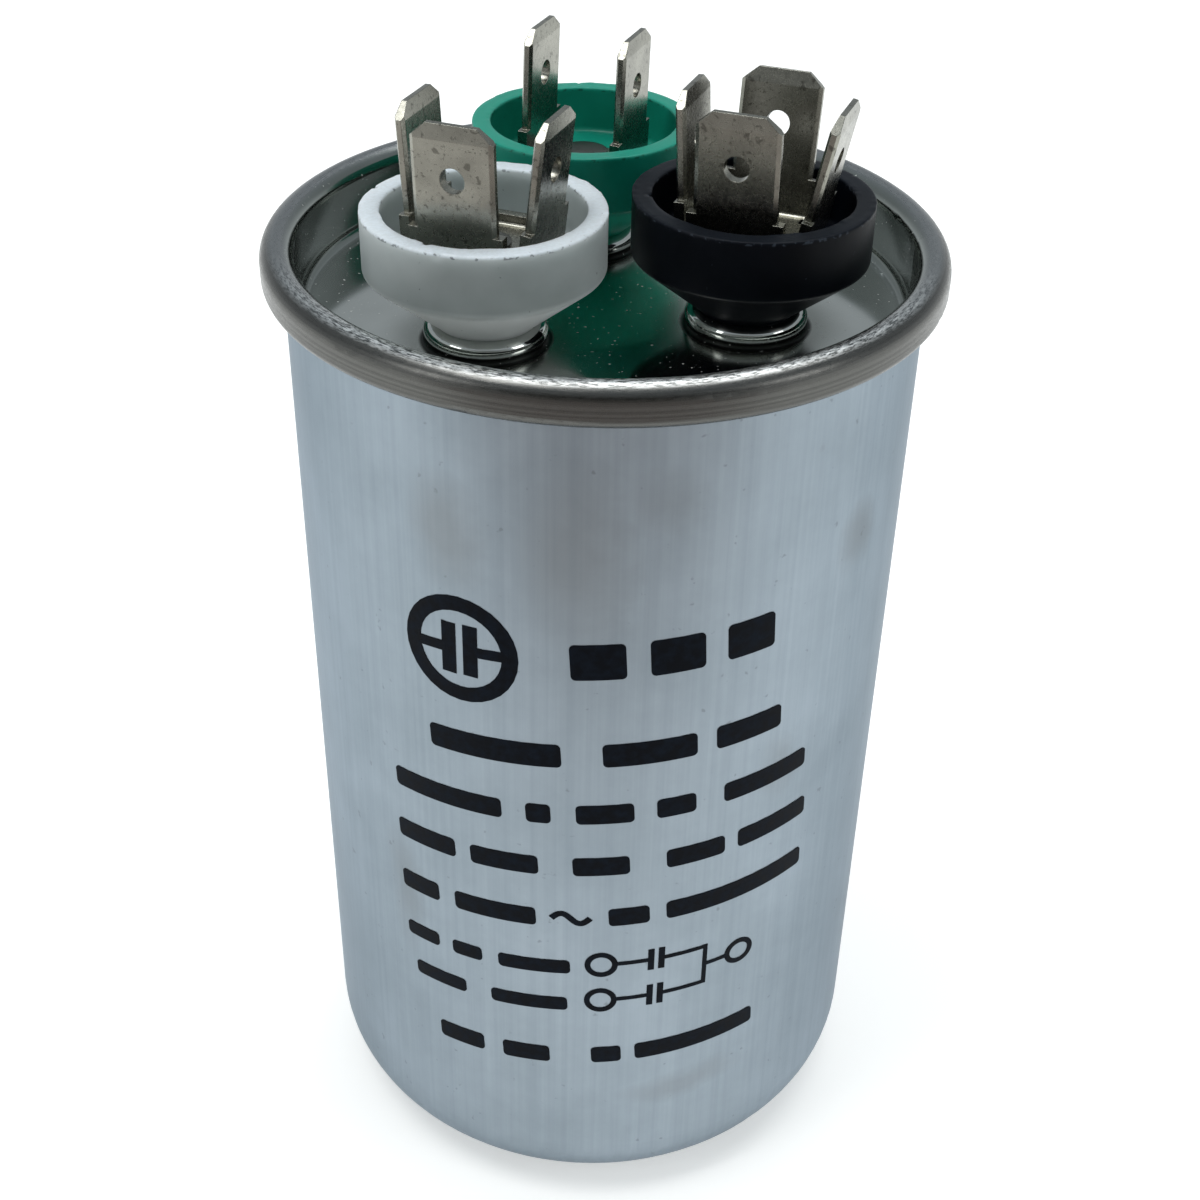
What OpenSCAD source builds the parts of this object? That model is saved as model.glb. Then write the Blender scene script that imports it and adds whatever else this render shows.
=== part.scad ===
// Dual run capacitor: a drawn aluminium can closed by a double-seamed lid that carries three cupped terminals.
// Origin at the centre of the base, +Z up, millimetres.

/* [Can] */
// Outside diameter of the can
can_d = 50; // [46:1:65]
// Height from the base to the crown of the seam
can_h = 85; // [60:1:130]
// Thickness of the can's wall and floor
can_wall = 0.5; // [0.4:0.05:0.7]
// Outside radius between the base and the wall
base_corner_r = 7; // [3:0.5:10]

/* [Lid and seam] */
// Thickness of the lid's sheet
lid_sheet = 0.4; // [0.3:0.05:0.5]
// Depth of the lid's panel below the crown of the seam
lid_recess = 5.9; // [5:0.1:9]
// Radius at the foot of the lid's inner wall
lid_foot_r = 1; // [0.5:0.1:2]
// Height of the seam, from its lower edge to its crown
seam_h = 3.2; // [3:0.1:4]
// Clearance between the layers of the seam
seam_gap = 0.05; // [0.02:0.01:0.1]
// Thickness of the sealing ring beside the can's turned edge
gasket_t = 0.25; // [0.15:0.05:0.4]
// Room left at the end of each interlocking edge
seam_end_room = 0.15; // [0.1:0.05:0.3]
// Turn of the terminals about the can's axis, in degrees
lid_turn = -20; // [-180:5:180]

/* [Lid necks] */
// Outside diameter of the bead that grips each cup
neck_d = 9.5; // [9:0.1:11]
// Outside radius of the bead's section
bead_r = 0.8; // [0.7:0.05:1.2]
// Radius between the panel and the bead
neck_foot_r = 0.3; // [0.2:0.05:0.5]
// How far the bead is rolled in past its top, in degrees
bead_roll = 10; // [0:1:20]

/* [Cups] */
// Wall of a cup
cup_wall = 1.5; // [1:0.1:2]
// Depth of a cup, from its rim to its floor
cup_depth = 3.75; // [3:0.05:6]
// Floor of a cup above the outer end of its cone
cup_floor_t = 0.8; // [0.5:0.1:2]
// Height of the foot of the cone above the lid's panel
cup_neck_h = 1.65; // [1.65:0.05:4]
// Slope of the cone under a cup, in degrees
cup_cone = 39; // [25:1:45]
// Radius where the cup's wall meets the cone
cup_corner_r = 0.5; // [0.3:0.1:1.5]
// Clearance between a cup's foot and the lid
cup_fit = 0.03; // [0.02:0.01:0.1]
// Room between the tabs' corners and the cup's wall
cup_room = 1.45; // [1:0.05:3]
// Space between neighbouring cups
cup_gap = 2; // [1:0.1:4]

/* [Tabs] */
// Width of a push-on tab
tab_w = 6.3; // [4.8:0.1:8]
// Thickness of a tab
tab_t = 0.8; // [0.5:0.1:1]
// Length of a tab above its shoulders
tab_len = 7.8; // [6:0.1:10]
// Step of the stop shoulders on each side
tab_shoulder = 0.5; // [0.2:0.1:1]
// Diameter of the detent hole
tab_hole_d = 1.9; // [1:0.1:2.2]
// Height of the detent hole above the shoulders
tab_hole_h = 3.85; // [2:0.05:5]
// Width cut off each corner of the tip
tip_w = 1.2; // [0.5:0.1:1.5]
// Height cut off each corner of the tip
tip_h = 1.05; // [0.5:0.05:1.5]
// Length of the bevel at the tip
tip_bevel = 1.1; // [0.5:0.1:1.5]
// Width of the bevel along the edges
edge_bevel = 0.3; // [0.2:0.1:0.9]
// Depth of both bevels, on each face
bevel_depth = 0.2; // [0.1:0.05:0.24]
// Inside radius of the bend at a tab's foot
bend_r = 0.3; // [0.2:0.1:0.8]
// Width of the common and compressor arms between the rivet and the bends
arm_w = 5.6; // [4:0.1:6.5]
// Width of the fan terminal's strip between its bends
fan_arm_w = 4.2; // [4:0.1:6.5]
// Distance between the inside faces of the fan terminal's two tabs
fan_span = 7.1; // [6:0.1:8.5]
// How far the shoulders of the fan tabs lie below the cup's rim
fan_drop = 0.45; // [0:0.05:1]
// Gap between the feet of neighbouring tabs
tab_corner_gap = 0.47; // [0.2:0.01:1]
// Height left of a sheared tab above its bend
stub_h = 0.5; // [0.2:0.1:1.5]
// Outward lean of the common tabs: right, back, left, front, in degrees
common_lean = [11, 10, 3.5, 3.5]; // [-6:0.5:12]
// Outward lean of the compressor tabs: right, back, left, front, in degrees
compressor_lean = [6.5, 0, 3, 3]; // [-6:0.5:12]
// Outward lean of the fan tabs: right, back, left, front, in degrees
fan_lean = [1.5, 0, -2, 0]; // [-6:0.5:12]

/* [Rivets and leads] */
// Diameter of a rivet's shank
rivet_d = 3; // [2:0.1:3.5]
// Diameter of a rivet's head
rivet_head_d = 4; // [3.6:0.1:5.5]
// Height of a rivet's head
rivet_head_h = 0.35; // [0.2:0.05:1.5]
// Diameter of a rivet's clinched tail
rivet_tail_d = 4.4; // [3.8:0.1:6]
// Height of a rivet's clinched tail
rivet_tail_h = 0.6; // [0.4:0.1:1]
// Clearance round a rivet's shank
rivet_fit = 0.05; // [0.02:0.01:0.2]
// Diameter of a lead wire
wire_d = 1.2; // [0.8:0.1:2]
// Clearance between a rivet's tail and the wire
lead_room = 0.2; // [0.1:0.05:0.5]
// Width of the ring lug beyond the rivet's tail
lug_margin = 0.8; // [0.4:0.1:1.5]
// Thickness of the ring lug
lug_t = 0.5; // [0.3:0.1:0.8]
// Radius of the bends in a lead
lead_bend_r = 1.5; // [1:0.1:1.8]
// Straight wire between a lug and the first bend
lead_run = 0.6; // [0.3:0.1:1.5]
// Length of wire that lies on the end of a winding
lead_tail = 3; // [2:0.1:5]
// Distance of the common lead from the edge of the large winding
lead_edge = 0.5; // [0.2:0.1:1.5]

/* [Windings] */
// Space between the large winding's sleeve and the can
can_room = 2; // [1:0.1:4]
// Thickness of the sleeve round the large winding
wrap_t = 0.4; // [0.2:0.1:1]
// Clearance of the sleeve and of the core tubes
winding_fit = 0.05; // [0.02:0.01:0.2]
// Diameter of the fan winding
fan_winding_d = 30; // [24:1:34]
// Height of the fan winding
fan_winding_h = 14; // [10:1:25]
// Outside diameter of the core tubes
core_d = 10; // [8:0.5:14]
// Wall of the core tubes
core_wall = 1.5; // [0.8:0.1:2.5]
// Room between the rivets and the fan winding
head_room = 6; // [4:0.5:12]
// Thickness of the dish under the windings
base_insulator_t = 2; // [1.5:0.1:4]
// Clearance between the dish's edge and the can's corner
base_insulator_fit = 0.1; // [0.05:0.05:0.5]
// Room round the lead in the dish's groove
groove_room = 0.1; // [0.05:0.05:0.3]
// Thickness of the insulating disc under the lid
lid_insulator_t = 1.2; // [0.8:0.1:2.5]
// Space between the insulating disc and the lid's corner
lid_insulator_room = 0.5; // [0.2:0.1:2]

/* [Hidden] */
$fn = 96;

// Places of the three terminals round the lid, and what each arm of a terminal ends in
COMMON = 0;
FAN = 1;
COMPRESSOR = 2;
common_arms = ["tab", "tab", "tab", "tab"];
compressor_arms = ["tab", "stub", "tab", "tab"];
fan_arms = ["tab", "none", "tab", "none"];

// Radii of the seam's layers, from the inside out
can_r = can_d / 2;
can_in_r = can_r - can_wall;
lid_wall_out_r = can_in_r - seam_gap;
lid_wall_in_r = lid_wall_out_r - lid_sheet;
cover_hook_in_r = can_r + seam_gap;
cover_hook_out_r = cover_hook_in_r + lid_sheet;
body_hook_in_r = cover_hook_out_r + seam_gap;
body_hook_out_r = body_hook_in_r + can_wall;
seam_in_r = body_hook_out_r + gasket_t;
seam_out_r = seam_in_r + lid_sheet;

// Bends of the seam
crown_r = (seam_in_r - lid_wall_out_r) / 2;
crown_x = (seam_in_r + lid_wall_out_r) / 2;
crown_z = can_h - lid_sheet - crown_r;
can_turn_r = (body_hook_in_r - can_r) / 2;
can_turn_x = (body_hook_in_r + can_r) / 2;
seam_turn_r = (seam_in_r - cover_hook_out_r) / 2;
seam_turn_x = (seam_in_r + cover_hook_out_r) / 2;
seam_turn_z = can_h - seam_h + lid_sheet + seam_turn_r;
body_hook_end_z = seam_turn_z + seam_end_room;
cover_hook_end_z = crown_z - seam_end_room;

// Lid panel and necks
lid_z = can_h - lid_recess;
lid_under_z = lid_z - lid_sheet;
bead_x = neck_d / 2 - bead_r;
bead_z = lid_z + bead_r;
neck_foot_x = bead_x + 2 * sqrt(bead_r * neck_foot_r);
neck_foot_z = lid_z + neck_foot_r;
neck_tilt = atan2(bead_r - neck_foot_r, neck_foot_x - bead_x);

// Tabs and terminals
lug_w = tab_w + 2 * tab_shoulder;
tab_in_x = lug_w / 2 + tab_corner_gap;
bend_x = tab_in_x - bend_r;
lug_h = cup_depth - tab_t - bend_r;
fan_bend_x = fan_span / 2 - bend_r;
fan_lug_h = lug_h - fan_drop;
tab_root = fan_lug_h / 2;
tab_corner = norm([tab_in_x + tab_t, lug_w / 2]);

// Cups
rivet_hole_r = rivet_d / 2 + rivet_fit;
cup_in_r = tab_corner + cup_room;
cup_r = cup_in_r + cup_wall;
foot_bead_r = bead_r - lid_sheet - cup_fit;
neck_r = bead_x - bead_r * sin(bead_roll) - cup_fit;
cone_z = lid_z + cup_neck_h;
cone_top_z = cone_z + (cup_r - neck_r) * tan(cup_cone);
cup_floor_z = cone_top_z + cup_floor_t;
cup_rim_z = cup_floor_z + cup_depth;
corner_cut = cup_corner_r * tan((90 - cup_cone) / 2);
pitch_r = (2 * cup_r + cup_gap) / sqrt(3);

// Insulators, windings and leads, from the lid down and from the base up
lid_insulator_z = lid_under_z - lid_insulator_t;
lid_insulator_r = lid_wall_in_r - lid_foot_r - lid_insulator_room;
lug_z = lid_insulator_z - lug_t;
rivet_end_z = lug_z - rivet_tail_h;
fan_top_z = rivet_end_z - head_room;
rolls_meet_z = fan_top_z - fan_winding_h;
rolls_base_z = can_wall + base_insulator_t;
wrap_out_r = can_in_r - can_room;
winding_r = wrap_out_r - wrap_t - winding_fit;
wire_r = wire_d / 2;
wire_z = lug_z + lug_t / 2 - wire_r;
lug_r = rivet_tail_d / 2 + lug_margin;
lead_start = rivet_tail_d / 2 + lead_room;
fan_lead_r = pitch_r - lead_start - lead_run - lead_bend_r;
fan_lead_end_r = fan_lead_r + lead_bend_r + lead_tail;
common_lead_r = winding_r - lead_edge - wire_r;
common_lead_end_r = fan_winding_d / 2 + lead_edge;
compressor_lead_end_r = core_d / 2 + lead_tail;

// Turned shapes

// Flat stretch of sheet in a turned section
module strip(x0, x1, z0, z1) {
  translate([x0, z0]) square([x1 - x0, z1 - z0]);
}

// Bent stretch of sheet in a section, from angle a0 to angle a1
module bend(x, z, inner_r, sheet, a0, a1) {
  reach = 2 * (inner_r + sheet);
  steps = 4;
  translate([x, z]) intersection() {
    difference() {
      circle(r = inner_r + sheet);
      circle(r = inner_r);
    }
    polygon([
      [0, 0],
      for (i = [0:steps]) reach * [cos(a0 + i * (a1 - a0) / steps), sin(a0 + i * (a1 - a0) / steps)]
    ]);
  }
}

// Places its children at one of the three terminals, square to the lid's turn
module at_terminal(place) {
  rotate(lid_turn + 120 * place) translate([pitch_r, 0, 0]) rotate(-120 * place) children();
}

// Can, lid and seam

module can() {
  corner_x = can_r - base_corner_r;
  color("#c9ced4") rotate_extrude() {
    strip(0, corner_x, 0, can_wall);
    bend(corner_x, base_corner_r, base_corner_r - can_wall, can_wall, -90, 0);
    strip(can_in_r, can_r, base_corner_r, crown_z);
    bend(can_turn_x, crown_z, can_turn_r, can_wall, 0, 180);
    strip(body_hook_in_r, body_hook_out_r, body_hook_end_z, crown_z);
  }
}

// Section of the lid: panel, inner wall, crown, outer wall and the edge hooked under the can's
module lid_section() {
  foot_x = lid_wall_in_r - lid_foot_r;
  strip(0, foot_x, lid_under_z, lid_z);
  bend(foot_x, lid_z + lid_foot_r, lid_foot_r, lid_sheet, -90, 0);
  strip(lid_wall_in_r, lid_wall_out_r, lid_z + lid_foot_r, crown_z);
  bend(crown_x, crown_z, crown_r, lid_sheet, 0, 180);
  strip(seam_in_r, seam_out_r, seam_turn_z, crown_z);
  bend(seam_turn_x, seam_turn_z, seam_turn_r, lid_sheet, -180, 0);
  strip(cover_hook_in_r, cover_hook_out_r, seam_turn_z, cover_hook_end_z);
}

// Section of one neck: the sheet rises from the panel and is rolled in over the cup's foot
module neck_section() {
  bend(neck_foot_x, neck_foot_z, neck_foot_r, lid_sheet, 180 - neck_tilt, 270);
  bend(bead_x, bead_z, bead_r - lid_sheet, lid_sheet, -neck_tilt, 90 + bead_roll);
}

module lid() {
  color("#a9aca8") {
    difference() {
      rotate_extrude() lid_section();
      for (place = [COMMON, FAN, COMPRESSOR])
        at_terminal(place) translate([0, 0, lid_under_z - lid_sheet]) cylinder(r = neck_foot_x, h = 3 * lid_sheet);
    }
    for (place = [COMMON, FAN, COMPRESSOR])
      at_terminal(place) rotate_extrude() neck_section();
  }
}

module seam_gasket() {
  color("#2a2a2a") rotate_extrude() {
    difference() {
      intersection() {
        translate([crown_x, crown_z]) circle(r = crown_r);
        strip(can_r, seam_in_r, crown_z, can_h);
      }
      translate([can_turn_x, crown_z]) circle(r = can_turn_r + can_wall);
    }
    strip(body_hook_out_r, seam_in_r, body_hook_end_z, crown_z);
  }
}

// Cups

// Section of a cup: foot held in the lid's neck, cone, round corner, wall and floor, bored for the rivet
module cup_section() {
  corner = [cup_r - cup_corner_r, cone_top_z - corner_cut * sin(cup_cone) + cup_corner_r * cos(cup_cone)];
  steps = 8;
  difference() {
    union() {
      polygon([
        [0, lid_under_z], [neck_r, lid_under_z], [neck_r, cone_z],
        for (i = [0:steps]) corner + cup_corner_r * [
          cos(cup_cone - 90 + i * (90 - cup_cone) / steps),
          sin(cup_cone - 90 + i * (90 - cup_cone) / steps)
        ],
        [cup_r, cup_rim_z], [cup_in_r, cup_rim_z], [cup_in_r, cup_floor_z], [0, cup_floor_z]
      ]);
      strip(0, bead_x, lid_under_z, bead_z);
      translate([bead_x, bead_z]) circle(r = foot_bead_r);
    }
    strip(0, rivet_hole_r, lid_under_z - cup_depth, cup_rim_z);
  }
}

module cup(place) {
  at_terminal(place) rotate_extrude() cup_section();
}

module common_cup() {
  color("#14171f") cup(COMMON);
}

module compressor_cup() {
  color("#d9dfe4") cup(COMPRESSOR);
}

module fan_cup() {
  color("#1f7a66") cup(FAN);
}

// Terminals

// Face of a tab from its root inside the foot, with the tip's corners cut off and the detent hole
module tab_outline() {
  half = tab_w / 2;
  difference() {
    polygon([
      [-half, -tab_root], [half, -tab_root], [half, tab_len - tip_h], [half - tip_w, tab_len],
      [tip_w - half, tab_len], [-half, tab_len - tip_h]
    ]);
    translate([0, tab_hole_h]) circle(d = tab_hole_d);
  }
}

// Section across a tab, with its long edges bevelled on both faces
module tab_section() {
  half = tab_w / 2;
  polygon([
    [0, edge_bevel - half], [bevel_depth, -half], [tab_t - bevel_depth, -half], [tab_t, edge_bevel - half],
    [tab_t, half - edge_bevel], [tab_t - bevel_depth, half], [bevel_depth, half], [0, half - edge_bevel]
  ]);
}

// Edge view of a tab, with its tip bevelled on both faces
module tab_edge() {
  polygon([
    [0, -tab_root], [tab_t, -tab_root], [tab_t, tab_len - tip_bevel], [tab_t - bevel_depth, tab_len],
    [bevel_depth, tab_len], [0, tab_len - tip_bevel]
  ]);
}

// Blade of a tab, its shoulders at z = 0: x is its thickness, z its length
module tab_blade() {
  intersection() {
    rotate([90, 0, 90]) linear_extrude(height = tab_t) tab_outline();
    translate([0, 0, -tab_root]) linear_extrude(height = tab_root + tab_len) tab_section();
    rotate([90, 0, 0]) linear_extrude(height = tab_w, center = true) tab_edge();
  }
}

// Side view of a tab's foot: bent up from the arm, then straight for a height along its lean
module foot_edge(lean, height) {
  out_r = bend_r + tab_t;
  steps = 8;
  turn = [for (i = [0:steps]) -90 + i * (90 - lean) / steps];
  top = height * [sin(lean), cos(lean)];
  polygon([
    for (i = [0:steps]) out_r * [cos(turn[i]), sin(turn[i])],
    out_r * [cos(lean), -sin(lean)] + top, bend_r * [cos(lean), -sin(lean)] + top,
    for (i = [steps:-1:0]) bend_r * [cos(turn[i]), sin(turn[i])]
  ]);
}

// Arm of a terminal along +X: flat on the cup's floor from the hub out, then bent up into a tab or a sheared stub
module arm(ending, lean, width, bend_at, rise) {
  translate([-width / 2, -width / 2, 0]) cube([bend_at + width / 2, width, tab_t]);
  translate([bend_at, 0, tab_t + bend_r]) {
    rotate([90, 0, 0]) linear_extrude(height = lug_w, center = true)
      foot_edge(lean, ending == "tab" ? rise : stub_h);
    if (ending == "tab") rotate([0, lean, 0]) translate([bend_r, 0, rise]) tab_blade();
  }
}

module terminal(place, arms, leans, width, bend_at, rise) {
  at_terminal(place) translate([0, 0, cup_floor_z]) difference() {
    union() {
      for (i = [0:3])
        if (arms[i] != "none") rotate(90 * i) arm(arms[i], leans[i], width, bend_at, rise);
    }
    translate([0, 0, -tab_t]) cylinder(r = rivet_hole_r, h = 3 * tab_t);
  }
}

module common_terminal() {
  color("#b3b1a8") terminal(COMMON, common_arms, common_lean, arm_w, bend_x, lug_h);
}

module compressor_terminal() {
  color("#b3b1a8") terminal(COMPRESSOR, compressor_arms, compressor_lean, arm_w, bend_x, lug_h);
}

module fan_terminal() {
  color("#b3b1a8") terminal(FAN, fan_arms, fan_lean, fan_arm_w, fan_bend_x, fan_lug_h);
}

// Rivets

// Rivet through a terminal, its cup, the insulating disc and the lead's lug
module rivet(place) {
  head_z = cup_floor_z + tab_t;
  color("#a8a79f") at_terminal(place) {
    translate([0, 0, head_z]) cylinder(d = rivet_head_d, h = rivet_head_h);
    translate([0, 0, rivet_end_z]) cylinder(d = rivet_d, h = head_z - rivet_end_z + rivet_head_h);
    translate([0, 0, rivet_end_z]) cylinder(d = rivet_tail_d, h = rivet_tail_h);
  }
}

module common_rivet() {
  rivet(COMMON);
}

module compressor_rivet() {
  rivet(COMPRESSOR);
}

module fan_rivet() {
  rivet(FAN);
}

// Inside of the can

module lid_insulator() {
  color("#c8b48a") difference() {
    translate([0, 0, lid_insulator_z]) cylinder(r = lid_insulator_r, h = lid_insulator_t);
    for (place = [COMMON, FAN, COMPRESSOR])
      at_terminal(place) translate([0, 0, lid_insulator_z - lid_insulator_t])
        cylinder(r = rivet_hole_r, h = 3 * lid_insulator_t);
  }
}

// Straight wire along X
module wire_run(x0, x1, z) {
  translate([x0, 0, z]) rotate([0, 90, 0]) cylinder(r = wire_r, h = x1 - x0);
}

// Quarter bend of wire round a centre, from angle a0 on
module wire_bend(x, z, a0) {
  translate([x, 0, z]) rotate([90, 0, 0]) rotate(a0) rotate_extrude(angle = 90) translate([lead_bend_r, 0])
    circle(r = wire_r);
}

// Wire in the plane of a spoke: from the lug at x0 towards -X to x1, down to height z1, then back to x2
module wire(x0, x1, x2, z1) {
  turn_x = x1 + lead_bend_r;
  wire_run(turn_x, x0, wire_z);
  wire_bend(turn_x, wire_z - lead_bend_r, 90);
  translate([x1, 0, z1 + lead_bend_r]) cylinder(r = wire_r, h = wire_z - z1 - 2 * lead_bend_r);
  wire_bend(turn_x, z1 + lead_bend_r, 180);
  wire_run(turn_x, x2, z1);
}

// Lead: a ring lug clamped by the rivet's tail, and the wire soldered to it
module lead(place, turn, x0, x1, x2, z1) {
  color("#b98a5a") {
    at_terminal(place) difference() {
      translate([0, 0, lug_z]) cylinder(r = lug_r, h = lug_t);
      translate([0, 0, lug_z - lug_t]) cylinder(r = rivet_hole_r, h = 3 * lug_t);
    }
    rotate(lid_turn + 120 * place + turn) wire(x0, x1, x2, z1);
  }
}

// The common lead leaves its lug outwards, so its wire is turned half round
module common_lead() {
  lead(COMMON, 180, -pitch_r - lead_start, -common_lead_r, -common_lead_end_r, rolls_meet_z + wire_r);
}

module compressor_lead() {
  lead(COMPRESSOR, 0, pitch_r - lead_start, 0, compressor_lead_end_r, rolls_base_z - wire_r);
}

module fan_lead() {
  lead(FAN, 0, pitch_r - lead_start, fan_lead_r, fan_lead_end_r, fan_top_z + wire_r);
}

// Tube between two radii and two heights
module tube(in_r, out_r, z0, z1) {
  rotate_extrude() strip(in_r, out_r, z0, z1);
}

module compressor_winding() {
  color("#b9b6a6") tube(core_d / 2 + winding_fit, winding_r, rolls_base_z, rolls_meet_z);
}

module fan_winding() {
  color("#b9b6a6") tube(core_d / 2 + winding_fit, fan_winding_d / 2, rolls_meet_z, fan_top_z);
}

module compressor_core() {
  color("#e8e4d8") tube(core_d / 2 - core_wall, core_d / 2, rolls_base_z, rolls_meet_z);
}

module fan_core() {
  color("#e8e4d8") tube(core_d / 2 - core_wall, core_d / 2, rolls_meet_z, fan_top_z);
}

module winding_wrap() {
  color("#d8c79a") tube(wrap_out_r - wrap_t, wrap_out_r, rolls_base_z, rolls_meet_z);
}

module base_insulator() {
  corner_x = can_r - base_corner_r;
  edge_r = base_corner_r - can_wall - base_insulator_fit;
  groove_w = wire_d + 2 * groove_room;
  color("#e8e4d8") difference() {
    rotate_extrude() {
      strip(0, corner_x, can_wall, rolls_base_z);
      intersection() {
        translate([corner_x, base_corner_r]) circle(r = edge_r);
        strip(corner_x, wrap_out_r, can_wall, rolls_base_z);
      }
    }
    rotate(lid_turn + 120 * COMPRESSOR) translate([-groove_w / 2, -groove_w / 2, rolls_base_z - groove_w])
      cube([compressor_lead_end_r + groove_w, groove_w, 2 * groove_w]);
  }
}

can();
lid();
seam_gasket();
common_cup();
compressor_cup();
fan_cup();
common_terminal();
compressor_terminal();
fan_terminal();
common_rivet();
compressor_rivet();
fan_rivet();
lid_insulator();
common_lead();
compressor_lead();
fan_lead();
compressor_winding();
fan_winding();
compressor_core();
fan_core();
winding_wrap();
base_insulator();
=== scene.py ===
# %% [markdown]
# # Dual run capacitor
#
# A round aluminium can is closed by a seamed lid, and three plastic cups on the lid hold push-on tabs.
# The solids come packed from the CAD step and stay where they are. This lesson adds light and finishes,
# and the traces of making and handling that solids leave out: ragged moulding edges on the cups, rounded
# light on the tabs' punched edges, rubbed metal, and a print of plain shapes on the can. Some shade,
# reflection and highlight is painted into the colours as well.

from math import atan2, cos, hypot, pi, radians, sin, sqrt, tan

import bmesh
import bpy
from mathutils import Matrix, Vector, noise


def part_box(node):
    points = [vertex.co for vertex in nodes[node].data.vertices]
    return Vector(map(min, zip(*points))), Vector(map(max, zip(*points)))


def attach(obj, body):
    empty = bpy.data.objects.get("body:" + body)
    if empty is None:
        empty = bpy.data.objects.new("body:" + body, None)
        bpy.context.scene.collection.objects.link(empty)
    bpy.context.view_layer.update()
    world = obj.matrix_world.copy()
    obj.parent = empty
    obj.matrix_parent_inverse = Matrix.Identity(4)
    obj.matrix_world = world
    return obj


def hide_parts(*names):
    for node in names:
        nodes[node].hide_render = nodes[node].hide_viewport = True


MM = 0.001
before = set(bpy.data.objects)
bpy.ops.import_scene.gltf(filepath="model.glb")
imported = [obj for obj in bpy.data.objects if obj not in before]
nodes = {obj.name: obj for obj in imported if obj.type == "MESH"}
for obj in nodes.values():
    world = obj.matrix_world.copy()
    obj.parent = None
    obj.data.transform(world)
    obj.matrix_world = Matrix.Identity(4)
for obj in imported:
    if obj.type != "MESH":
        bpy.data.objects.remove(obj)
scene = bpy.context.scene
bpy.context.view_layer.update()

# %% [markdown]
# ## Camera
#
# The photograph looks down on the can from close in front, so the can narrows towards its base. The seam's
# ellipse gives the pitch, the narrowing gives the distance, and the leaning axis gives a slight roll.
# A camera can be aimed at a target, but three plain turns keep the roll in view, so they are used here.

# %% Camera
CAMERA_PLACE = Vector((0, -129.86, 139.48)) * MM
PITCH_DOWN = radians(34.57)
ROLL = 0.02203
YAW = -0.00122
LENS = 53.364
SENSOR = 36
NEAREST = 5.0

camera = bpy.data.objects.new("camera", bpy.data.cameras.new("camera"))
camera.data.lens = LENS
camera.data.sensor_width = SENSOR
camera.data.clip_start = NEAREST * MM
pitch = Matrix.Rotation(pi / 2 - PITCH_DOWN, 4, "X")
turn = Matrix.Rotation(YAW, 4, "Z") @ pitch @ Matrix.Rotation(ROLL, 4, "Z")
camera.matrix_world = Matrix.Translation(CAMERA_PLACE) @ turn
scene.collection.objects.link(camera)
scene.camera = camera
scene.view_settings.view_transform = "Standard"
print("camera at", [round(c / MM, 1) for c in camera.location], "mm, lens", round(camera.data.lens, 2), "mm")

# %% [markdown]
# ## Small helpers
#
# Colours are written as sRGB hex values, as they are picked on a screen, but shaders count in linear light.
# One function turns the one into the other. A second one adds a node with its settings and its links, so
# that each material below reads as a short list of what it is made of.

# %% Helpers
def linear(code):
    """Linear colour of an sRGB hex value."""
    parts = [int(code[i:i + 2], 16) / 255 for i in (1, 3, 5)]
    return tuple(c / 12.92 if c <= 0.04045 else ((c + 0.055) / 1.055) ** 2.4 for c in parts) + (1,)


def add(tree, kind, settings=None, links=None):
    """Adds a node. Settings fill its properties, sockets or ramp stops, and links join sockets to outputs."""
    node = tree.nodes.new("ShaderNode" + kind)
    for name, value in (settings or {}).items():
        if name == "stops":
            ramp = node.color_ramp.elements
            while len(ramp) < len(value):
                ramp.new(0.5)
            for stop, (place, colour) in zip(ramp, value):
                stop.position = place
                stop.color = linear(colour)
        elif isinstance(name, str) and hasattr(node, name):
            setattr(node, name, value)
        else:
            node.inputs[name].default_value = value
    for name, output in (links or {}).items():
        tree.links.new(output, node.inputs[name])
    return node


def new_material(name):
    """Empty material and its node tree."""
    material = bpy.data.materials.new(name)
    material.use_nodes = True
    material.node_tree.nodes.clear()
    return material, material.node_tree


print("mid grey in linear light:", round(linear("#808080")[0], 3))

# %% [markdown]
# ## Floor
#
# The part was photographed on white, lit softly from above, with the darker room in front of it. A floor of
# white paper keeps the part's shadow. Paper alone would render a little grey, so a weak glow, seen by the
# camera and by shiny things, lifts it to white without more light on the part. The paper's colour is graded:
# towards the viewer it falls to a warm grey, a painted shade that stands in for the darker room in front, and
# that is what darkens the upper half of the can and the front of the seam, which show the floor in front of
# them.

# %% Floor
FLOOR_HALF = 12.0
floor_mesh = bpy.data.meshes.new("floor")
corners = [(x * FLOOR_HALF, y * FLOOR_HALF, 0) for x, y in ((-1, -1), (1, -1), (1, 1), (-1, 1))]
floor_mesh.from_pydata(corners, [], [(0, 1, 2, 3)])
floor = bpy.data.objects.new("floor", floor_mesh)
scene.collection.objects.link(floor)
print("floor:", 2 * FLOOR_HALF, "m wide")

# %% Material of the floor
PAPER = "#f0f0ee"
# Warm grey of the painted shade on the paper towards the viewer
SHADE_GREY = "#9f9794"
PAPER_GLOW = 0.46
GRADE_NEAR = -0.075
GRADE_FAR = -0.145
GRADE_CURVE = 1.3
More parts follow.
